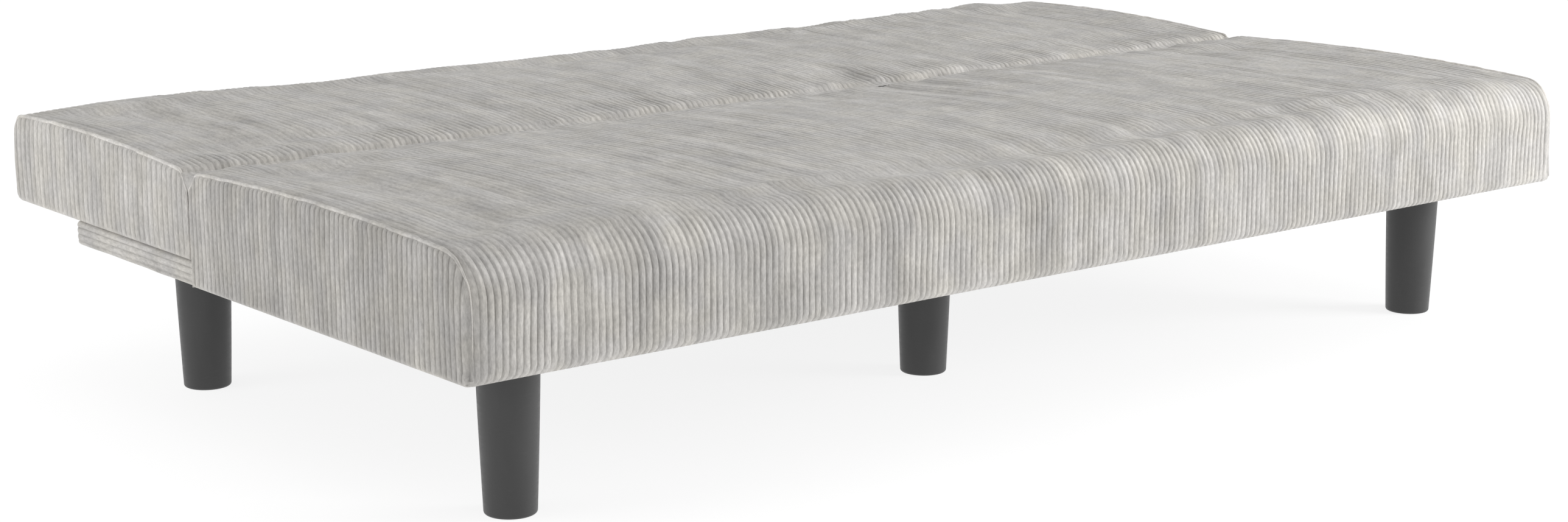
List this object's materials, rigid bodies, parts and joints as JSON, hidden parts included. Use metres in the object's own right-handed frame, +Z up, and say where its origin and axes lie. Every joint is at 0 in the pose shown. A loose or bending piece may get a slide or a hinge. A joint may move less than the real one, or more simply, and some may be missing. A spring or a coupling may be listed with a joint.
{
  "type": "sofa bed",
  "caption": "Armless click-clack sofa bed lying flat: ribbed upholstered seat on tapered round legs, with a hinged back cushion of equal height behind it.",
  "frame": {"origin": "on the floor under the middle of the bed when it lies flat", "axes": "+X along the bed's length to the right, +Y from the seat's front to the back cushion's rear, +Z up"},
  "size_m": [1.8, 1.08, 0.341],
  "materials": {
    "cord_fabric": "matte",
    "lining": "matte",
    "foam": "matte",
    "timber": "matte",
    "plywood": "matte",
    "steel": "satin",
    "leg_plastic": "satin"
  },
  "bodies": {
    "base": {"leg_front_left": "leg_plastic", "leg_bolt_front_left": "steel", "tee_nut_front_left": "steel", "leg_front_right": "leg_plastic", "leg_bolt_front_right": "steel", "tee_nut_front_right": "steel", "leg_rear_left": "leg_plastic", "leg_bolt_rear_left": "steel", "tee_nut_rear_left": "steel", "leg_rear_right": "leg_plastic", "leg_bolt_rear_right": "steel", "tee_nut_rear_right": "steel", "leg_centre": "leg_plastic", "leg_bolt_centre": "steel", "tee_nut_centre": "steel", "base_front_rail": "timber", "base_rear_rail": "timber", "base_middle_rail": "timber", "base_end_rail_left": "timber", "base_end_rail_right": "timber", "base_centre_rail_front": "timber", "base_centre_rail_rear": "timber", "corner_block_front_left": "timber", "corner_block_front_right": "timber", "corner_block_rear_left": "timber", "corner_block_rear_right": "timber", "seat_board_1": "plywood", "seat_board_2": "plywood", "seat_board_3": "plywood", "seat_foam": "foam", "seat_cover": "cord_fabric", "ledge_panel": "plywood", "ledge_cover": "cord_fabric", "dust_cover": "lining", "hinge_block_left": "timber", "hinge_seat_plate_left": "steel", "hinge_seat_studs_left": "steel", "hinge_pin_left": "steel", "pawl_spring_left": "steel", "hinge_block_right": "timber", "hinge_seat_plate_right": "steel", "hinge_seat_studs_right": "steel", "hinge_pin_right": "steel", "pawl_spring_right": "steel"},
    "back": {"back_front_rail": "timber", "back_rear_rail": "timber", "back_slat_left": "plywood", "back_slat_centre": "plywood", "back_slat_right": "plywood", "back_foam": "foam", "back_cover": "cord_fabric", "back_panel": "lining", "back_end_board_left": "timber", "hinge_back_plate_left": "steel", "hinge_back_studs_left": "steel", "back_end_board_right": "timber", "hinge_back_plate_right": "steel", "hinge_back_studs_right": "steel"},
    "pawl_left": {"pawl_left": "steel"},
    "pawl_right": {"pawl_right": "steel"}
  },
  "joints": [
    {"name": "back_recline", "type": "hinge", "parent": "base", "child": "back", "pos_m": [0, 0.06, 0.309], "axis": [1, 0, 0], "range_deg": [0, 80]},
    {"name": "pawl_lift_left", "type": "hinge", "parent": "base", "child": "pawl_left", "pos_m": [-0.8665, 0.016, 0.258], "axis": [1, 0, 0], "range_deg": [0, 8], "stiffness_Nm_per_rad": 0.05, "deforming": ["pawl_spring_left"]},
    {"name": "pawl_lift_right", "type": "hinge", "parent": "base", "child": "pawl_right", "pos_m": [0.8665, 0.016, 0.258], "axis": [1, 0, 0], "range_deg": [0, 8], "stiffness_Nm_per_rad": 0.05, "deforming": ["pawl_spring_right"]}
  ]
}
